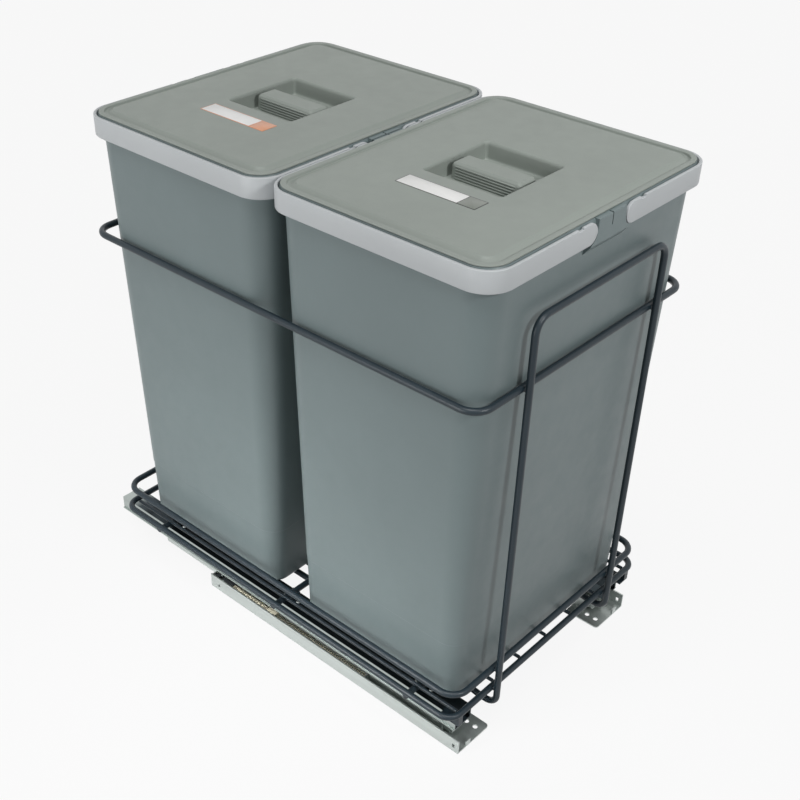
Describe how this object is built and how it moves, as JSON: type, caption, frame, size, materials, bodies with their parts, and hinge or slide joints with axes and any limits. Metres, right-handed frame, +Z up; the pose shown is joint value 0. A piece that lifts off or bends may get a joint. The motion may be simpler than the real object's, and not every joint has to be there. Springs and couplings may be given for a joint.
{
  "type": "pull out trash cabinet",
  "caption": "Two lidded waste bins in a wire basket that pulls out of a kitchen base cabinet on soft-closing ball slides.",
  "frame": {"origin": "on the cabinet floor, in the middle of the front fixing holes of both slides", "axes": "+X across the cabinet, the user stands at -Y, +Z up"},
  "size_m": [0.34, 0.553, 0.5519],
  "materials": {
    "rail_steel": "zinc-plated sheet steel, satin",
    "cage_steel": "plain strip steel",
    "ball_steel": "polished bearing balls",
    "catch_plastic": "dark moulded plastic",
    "damper_plastic": "cream moulded plastic",
    "spring_steel": "bright spring wire",
    "rod_steel": "bright rod",
    "wire_coating": "blue-grey powder coat on steel wire",
    "rivet_steel": "zinc-plated rivets",
    "bin_plastic": "fine-textured grey polypropylene",
    "handle_plastic": "light grey polypropylene, satin",
    "lid_plastic": "warm grey polypropylene, fine texture",
    "label_film": "white label, blank"
  },
  "bodies": {
    "cabinet_fixture": {"left_cabinet_rail": "rail_steel", "right_cabinet_rail": "rail_steel", "left_damper_rod": "rod_steel", "right_damper_rod": "rod_steel", "left_closing_spring": "spring_steel", "right_closing_spring": "spring_steel"},
    "left_middle": {"left_middle_rail": "rail_steel"},
    "left_lower_bearing": {"left_lower_ball_cage": "cage_steel", "left_lower_balls": "ball_steel"},
    "left_upper_bearing": {"left_upper_ball_cage": "cage_steel", "left_upper_balls": "ball_steel"},
    "left_soft_closer": {"left_catch": "catch_plastic", "left_damper_cylinder": "damper_plastic", "left_spring_slider": "damper_plastic"},
    "right_middle": {"right_middle_rail": "rail_steel"},
    "right_lower_bearing": {"right_lower_ball_cage": "cage_steel", "right_lower_balls": "ball_steel"},
    "right_upper_bearing": {"right_upper_ball_cage": "cage_steel", "right_upper_balls": "ball_steel"},
    "right_soft_closer": {"right_catch": "catch_plastic", "right_damper_cylinder": "damper_plastic", "right_spring_slider": "damper_plastic"},
    "carriage": {"left_basket_rail": "rail_steel", "right_basket_rail": "rail_steel", "left_wire_saddles": "wire_coating", "right_wire_saddles": "wire_coating", "left_saddle_rivets": "rivet_steel", "right_saddle_rivets": "rivet_steel", "left_corner_bracket": "wire_coating", "right_corner_bracket": "wire_coating", "cross_wires": "wire_coating", "floor_wires": "wire_coating", "lower_base_ring": "wire_coating", "upper_base_ring": "wire_coating", "guard_ring": "wire_coating", "front_hoop": "wire_coating", "rear_hoop": "wire_coating"},
    "front_tub": {"front_bin": "bin_plastic"},
    "front_cover": {"front_lid": "lid_plastic", "front_label": "label_film"},
    "front_left_bail": {"front_left_handle": "handle_plastic"},
    "front_right_bail": {"front_right_handle": "handle_plastic"},
    "rear_tub": {"rear_bin": "bin_plastic"},
    "rear_cover": {"rear_lid": "lid_plastic", "rear_label": "label_film"},
    "rear_left_bail": {"rear_left_handle": "handle_plastic"},
    "rear_right_bail": {"rear_right_handle": "handle_plastic"}
  },
  "joints": [
    {"name": "carriage_slide", "type": "slide", "parent": "cabinet_fixture", "child": "carriage", "axis": [0, -1, 0], "range_m": [0, 0.48]},
    {"name": "left_middle_slide", "type": "slide", "parent": "cabinet_fixture", "child": "left_middle", "axis": [0, -1, 0], "range_m": [0, 0.24]},
    {"name": "left_lower_bearing_roll", "type": "slide", "parent": "cabinet_fixture", "child": "left_lower_bearing", "axis": [0, -1, 0], "range_m": [0, 0.12]},
    {"name": "left_upper_bearing_roll", "type": "slide", "parent": "cabinet_fixture", "child": "left_upper_bearing", "axis": [0, -1, 0], "range_m": [0, 0.36]},
    {"name": "right_middle_slide", "type": "slide", "parent": "cabinet_fixture", "child": "right_middle", "axis": [0, -1, 0], "range_m": [0, 0.24]},
    {"name": "right_lower_bearing_roll", "type": "slide", "parent": "cabinet_fixture", "child": "right_lower_bearing", "axis": [0, -1, 0], "range_m": [0, 0.12]},
    {"name": "right_upper_bearing_roll", "type": "slide", "parent": "cabinet_fixture", "child": "right_upper_bearing", "axis": [0, -1, 0], "range_m": [0, 0.36]},
    {"name": "front_bin_lift", "type": "slide", "parent": "carriage", "child": "front_tub", "axis": [0, 0, 1], "range_m": [0, 0.45]},
    {"name": "front_lid_lift", "type": "slide", "parent": "front_tub", "child": "front_cover", "axis": [0, 0, 1], "range_m": [0, 0.25]},
    {"name": "front_left_bail_hinge", "type": "hinge", "parent": "front_tub", "child": "front_left_bail", "pos_m": [-0.0325, 0.10155, 0.53855], "axis": [0, 1, 0], "range_deg": [0, 95]},
    {"name": "front_right_bail_hinge", "type": "hinge", "parent": "front_tub", "child": "front_right_bail", "pos_m": [0.0325, 0.10155, 0.53855], "axis": [0, -1, 0], "range_deg": [0, 95]},
    {"name": "rear_bin_lift", "type": "slide", "parent": "carriage", "child": "rear_tub", "axis": [0, 0, 1], "range_m": [0, 0.45]},
    {"name": "rear_lid_lift", "type": "slide", "parent": "rear_tub", "child": "rear_cover", "axis": [0, 0, 1], "range_m": [0, 0.25]},
    {"name": "rear_left_bail_hinge", "type": "hinge", "parent": "rear_tub", "child": "rear_left_bail", "pos_m": [-0.0325, 0.35605, 0.53855], "axis": [0, 1, 0], "range_deg": [0, 95]},
    {"name": "rear_right_bail_hinge", "type": "hinge", "parent": "rear_tub", "child": "rear_right_bail", "pos_m": [0.0325, 0.35605, 0.53855], "axis": [0, -1, 0], "range_deg": [0, 95]},
    {"name": "left_closer_slide", "type": "slide", "parent": "cabinet_fixture", "child": "left_soft_closer", "axis": [0, -1, 0], "range_m": [0, 0.04], "deforming": ["left_closing_spring"]},
    {"name": "right_closer_slide", "type": "slide", "parent": "cabinet_fixture", "child": "right_soft_closer", "axis": [0, -1, 0], "range_m": [0, 0.04], "deforming": ["right_closing_spring"]}
  ],
  "couplings": [
    {"joint": "left_middle_slide", "follows": "carriage_slide", "ratio": 0.5},
    {"joint": "left_lower_bearing_roll", "follows": "carriage_slide", "ratio": 0.25},
    {"joint": "left_upper_bearing_roll", "follows": "carriage_slide", "ratio": 0.75},
    {"joint": "right_middle_slide", "follows": "carriage_slide", "ratio": 0.5},
    {"joint": "right_lower_bearing_roll", "follows": "carriage_slide", "ratio": 0.25},
    {"joint": "right_upper_bearing_roll", "follows": "carriage_slide", "ratio": 0.75}
  ]
}
